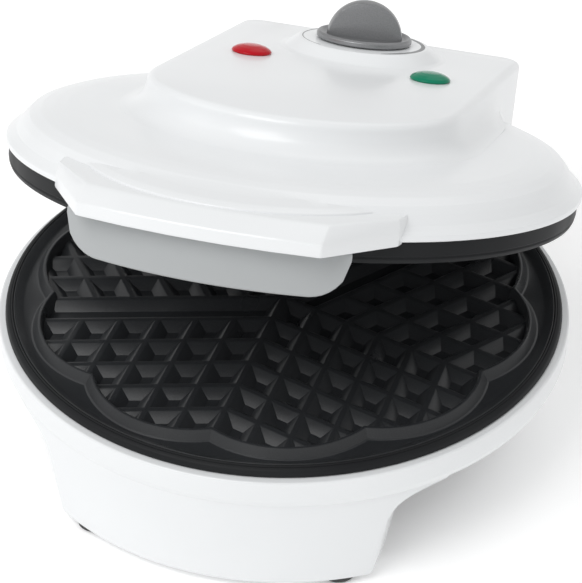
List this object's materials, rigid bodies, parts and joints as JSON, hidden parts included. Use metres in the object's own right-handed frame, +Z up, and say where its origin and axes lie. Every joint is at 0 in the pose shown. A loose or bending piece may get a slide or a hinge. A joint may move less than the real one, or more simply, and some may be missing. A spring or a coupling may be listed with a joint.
{
  "type": "waffle maker",
  "caption": "Round heart-waffle maker: white base on two curved legs, hinged domed lid with a raised platform, lamps, knob and front handle, black lobed mould plates.",
  "frame": {"origin": "on the floor, under the middle of the width and of the depth with the lid at rest", "axes": "+X to the right seen from the front, +Y from the handle towards the hinge, +Z up"},
  "size_m": [0.204, 0.2358, 0.1453],
  "materials": {
    "housing_white": "moulded white plastic, glossy with a faint texture",
    "tongue_grey_white": "moulded pale grey-white plastic, satin",
    "cover_grey": "moulded black plastic, matt",
    "bezel_black": "heat-resistant black plastic, satin",
    "nonstick_black": "die-cast aluminium with a dark non-stick coating",
    "screw_steel": "zinc plated",
    "pin_steel": "ground bright",
    "element_steel": "oxidised by heat",
    "reflector_sheet": "aluminised sheet",
    "ceramic_ivory": "unglazed",
    "foot_rubber": "moulded rubber",
    "lens_red": "clear red, polished",
    "lens_green": "clear green, polished",
    "lamp_glass": "clear bulb",
    "knob_silver": "silver lacquer, satin"
  },
  "bodies": {
    "base": {"base_housing": "housing_white", "bottom_cover": "cover_grey", "cover_screws": "screw_steel", "lower_bezel": "bezel_black", "bezel_screws": "screw_steel", "lower_plate": "nonstick_black", "lower_plate_screws": "screw_steel", "lower_heater": "element_steel", "lower_reflector": "reflector_sheet", "terminal_block": "ceramic_ivory", "thermal_fuse": "element_steel", "front_foot_left": "foot_rubber", "front_foot_right": "foot_rubber", "rear_foot_left": "foot_rubber", "rear_foot_right": "foot_rubber", "hinge_pin_left": "pin_steel", "hinge_pin_right": "pin_steel", "cord_gland": "foot_rubber"},
    "lid": {"lid_housing": "housing_white", "upper_bezel": "bezel_black", "upper_plate": "nonstick_black", "upper_plate_screws": "screw_steel", "upper_heater": "element_steel", "upper_reflector": "reflector_sheet", "handle_tongue": "tongue_grey_white", "tongue_screws": "screw_steel", "red_lens": "lens_red", "green_lens": "lens_green", "red_lamp": "lamp_glass", "green_lamp": "lamp_glass", "thermostat": "ceramic_ivory", "thermostat_bracket": "reflector_sheet", "thermostat_screws": "screw_steel"},
    "knob": {"thermostat_knob": "knob_silver", "thermostat_spindle": "pin_steel"}
  },
  "joints": [
    {"name": "lid_hinge", "type": "hinge", "parent": "base", "child": "lid", "pos_m": [0, 0.09663, 0.047], "axis": [-1, 0, 0], "range_deg": [-20, 80]},
    {"name": "knob_turn", "type": "hinge", "parent": "lid", "child": "knob", "pos_m": [0, 0.08592, 0.09506], "axis": [0, 0.342, 0.9397], "range_deg": [-135, 135]}
  ]
}
